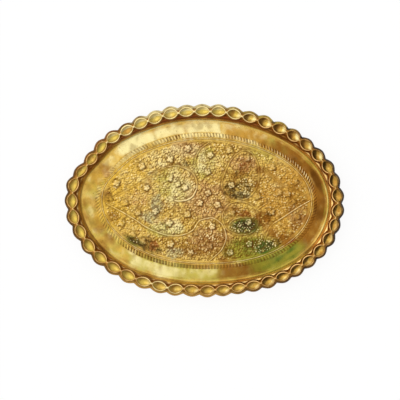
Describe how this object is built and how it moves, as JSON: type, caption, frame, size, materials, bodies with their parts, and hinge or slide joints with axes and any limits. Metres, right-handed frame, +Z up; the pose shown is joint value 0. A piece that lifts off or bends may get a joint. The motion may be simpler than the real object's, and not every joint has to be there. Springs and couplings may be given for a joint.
{
  "type": "oval serving tray",
  "caption": "Shallow oval brass tray with a flat chased floor, a short steep wall and a soldered border of open crimped cups, for carrying and serving.",
  "frame": {"origin": "middle of the underside of the tray's floor, on the surface that it stands on", "axes": "+X along the tray's long axis, to the right in the picture; +Y across it, to the top of the picture; +Z up, out of the dish"},
  "size_m": [0.3293, 0.229, 0.02],
  "materials": {
    "pan_brass": "aged yellow brass, chased and worn satin, with brown and green stains",
    "soft_solder": "dull grey soft solder",
    "border_brass": "aged brown brass with bright worn lips"
  },
  "bodies": {
    "root": {"tray_pan": "pan_brass", "border_solder": "soft_solder", "crimped_border": "border_brass"}
  },
  "joints": []
}
